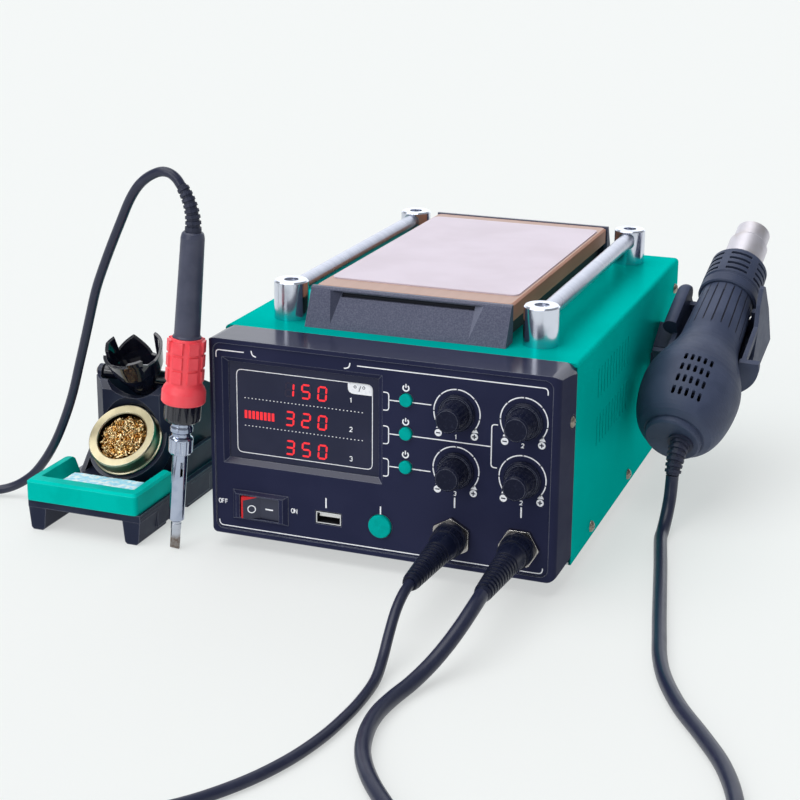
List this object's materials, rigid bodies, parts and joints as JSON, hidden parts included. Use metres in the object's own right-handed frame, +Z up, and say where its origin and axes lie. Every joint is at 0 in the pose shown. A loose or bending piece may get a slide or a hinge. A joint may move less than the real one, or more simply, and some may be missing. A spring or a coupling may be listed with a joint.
{
  "type": "smd rework station",
  "caption": "Bench rework station with a hot plate between rails on top, a front panel of dials and sockets, a hot-air gun in a side holder, and a soldering iron with its stand.",
  "frame": {"origin": "on the table top, under the middle of the case", "axes": "+X to the right as the front panel is faced, +Y to the back, +Z up"},
  "size_m": [0.519, 0.5609, 0.1983],
  "materials": {
    "case_green": "fine textured satin paint",
    "zinc_sheet": "zinc-plated sheet",
    "panel_black": "smooth semi-matte moulding",
    "display_window": "smoked clear plastic",
    "circuit_board": "solder mask",
    "switch_black": "glossy",
    "switch_red": "glossy, see-through red",
    "nickel": "nickel plate",
    "plug_black": "matte",
    "insulator_black": "matte",
    "copper_plate": "copper-brown anodised",
    "plate_mat": "smooth heat-proof sheet",
    "cap_grey": "textured moulding",
    "polished_chrome": "polished",
    "foot_rubber": "matte",
    "screw_steel": "plated",
    "core_steel": "stacked plates",
    "pump_metal": "drawn can",
    "gun_plastic": "finely textured",
    "nozzle_steel": "heat-dulled stainless",
    "ceramic": "bare ceramic",
    "fan_plastic": "moulded",
    "boot_rubber": "matte",
    "stand_black": "semi-matte moulding",
    "tray_green": "satin",
    "sponge_blue": "open pores",
    "tin_gold": "spun sheet",
    "brass_wool": "curled shavings",
    "holder_gloss": "glossy",
    "handle_black": "semi-matte",
    "grip_red": "soft moulded",
    "tip_iron": "plated and tinned",
    "button_green": "satin",
    "knob_black": "moulded, low gloss",
    "cord_black": "soft sheath"
  },
  "bodies": {
    "station": {"case_cover": "case_green", "case_base": "zinc_sheet", "rear_panel": "case_green", "front_bezel": "panel_black", "display_lens": "display_window", "front_board": "circuit_board", "switch_frame": "switch_black", "usb_socket": "nickel", "cord_sockets": "nickel", "solder_plug": "plug_black", "air_plug": "plug_black", "plate_support": "insulator_black", "heater_plate": "copper_plate", "plate_mat": "plate_mat", "plate_front_cap": "cap_grey", "plate_rear_cap": "cap_grey", "guide_posts": "polished_chrome", "guide_rods": "polished_chrome", "rubber_feet": "foot_rubber", "screws": "screw_steel", "power_inlet": "switch_black", "transformer": "core_steel", "vacuum_pump": "pump_metal", "gun_holder": "gun_plastic", "solder_cord_iron": "cord_black", "solder_cord_plug": "cord_black", "solder_coil": "cord_black", "air_cord_gun": "cord_black", "air_cord_plug": "cord_black", "air_coil": "cord_black", "cord_ties": "boot_rubber"},
    "rocker": {"switch_rocker": "switch_red"},
    "pump_push": {"pump_button": "button_green"},
    "preheat_push": {"preheat_button": "button_green"},
    "air_push": {"air_button": "button_green"},
    "solder_push": {"solder_button": "button_green"},
    "preheat_dial": {"preheat_knob": "knob_black"},
    "air_volume_dial": {"air_volume_knob": "knob_black"},
    "solder_dial": {"solder_knob": "knob_black"},
    "air_heat_dial": {"air_heat_knob": "knob_black"},
    "hot_air_gun": {"gun_shell_upper": "gun_plastic", "gun_shell_lower": "gun_plastic", "gun_collar": "gun_plastic", "gun_nozzle": "nozzle_steel", "gun_heater": "ceramic", "gun_boot": "boot_rubber"},
    "blower_wheel": {"gun_fan": "fan_plastic"},
    "stand": {"stand_base": "stand_black"},
    "tray": {"sponge_tray": "tray_green", "sponge": "sponge_blue"},
    "tin": {"brass_tin": "tin_gold", "brass_wool": "brass_wool"},
    "tilting_holder": {"iron_holder": "holder_gloss"},
    "soldering_iron": {"iron_handle": "handle_black", "iron_grip": "grip_red", "iron_lock_nut": "handle_black", "iron_barrel_nut": "nickel", "iron_barrel": "nozzle_steel", "iron_tip": "tip_iron", "iron_boot": "boot_rubber"}
  },
  "joints": [
    {"name": "power_switch", "type": "hinge", "parent": "station", "child": "rocker", "pos_m": [-0.064, -0.1274, 0.0247], "axis": [0, 0, 1], "range_deg": [-16, 0]},
    {"name": "pump_press", "type": "slide", "parent": "station", "child": "pump_push", "axis": [0, 1, 0], "range_m": [0, 0.0012], "stiffness_N_per_m": 200},
    {"name": "preheat_press", "type": "slide", "parent": "station", "child": "preheat_push", "axis": [0, 1, 0], "range_m": [0, 0.001], "stiffness_N_per_m": 300},
    {"name": "air_press", "type": "slide", "parent": "station", "child": "air_push", "axis": [0, 1, 0], "range_m": [0, 0.001], "stiffness_N_per_m": 300},
    {"name": "solder_press", "type": "slide", "parent": "station", "child": "solder_push", "axis": [0, 1, 0], "range_m": [0, 0.001], "stiffness_N_per_m": 300},
    {"name": "preheat_turn", "type": "hinge", "parent": "station", "child": "preheat_dial", "pos_m": [0.0412, -0.13, 0.0892], "axis": [0, -1, 0], "range_deg": [-140, 140]},
    {"name": "air_volume_turn", "type": "hinge", "parent": "station", "child": "air_volume_dial", "pos_m": [0.0752, -0.13, 0.0892], "axis": [0, -1, 0], "range_deg": [-140, 140]},
    {"name": "solder_turn", "type": "hinge", "parent": "station", "child": "solder_dial", "pos_m": [0.0412, -0.13, 0.0597], "axis": [0, -1, 0], "range_deg": [-140, 140]},
    {"name": "air_heat_turn", "type": "hinge", "parent": "station", "child": "air_heat_dial", "pos_m": [0.0752, -0.13, 0.0597], "axis": [0, -1, 0], "range_deg": [-140, 140]},
    {"name": "gun_lift", "type": "slide", "parent": "station", "child": "hot_air_gun", "axis": [-0.0492, -0.5021, 0.8634], "range_m": [0, 0.06]},
    {"name": "blower_spin", "type": "hinge", "parent": "hot_air_gun", "child": "blower_wheel", "pos_m": [0.1217, -0.0041, 0.0438], "axis": [0.0843, 0.8593, 0.5045], "continuous": true},
    {"name": "stand_slide", "type": "slide", "parent": "station", "child": "stand", "axis": [0, 1, 0], "range_m": [0, 0.08]},
    {"name": "tray_slide", "type": "slide", "parent": "stand", "child": "tray", "axis": [0, -1, 0], "range_m": [0, 0.045]},
    {"name": "tin_lift", "type": "slide", "parent": "stand", "child": "tin", "axis": [0, -0.682, 0.7314], "range_m": [0, 0.03]},
    {"name": "holder_tilt", "type": "hinge", "parent": "stand", "child": "tilting_holder", "pos_m": [-0.159, -0.079, 0.07], "axis": [1, 0, 0], "range_deg": [-10, 10]},
    {"name": "iron_lift", "type": "slide", "parent": "station", "child": "soldering_iron", "axis": [0, -1, 0], "range_m": [0, 0.08]}
  ]
}
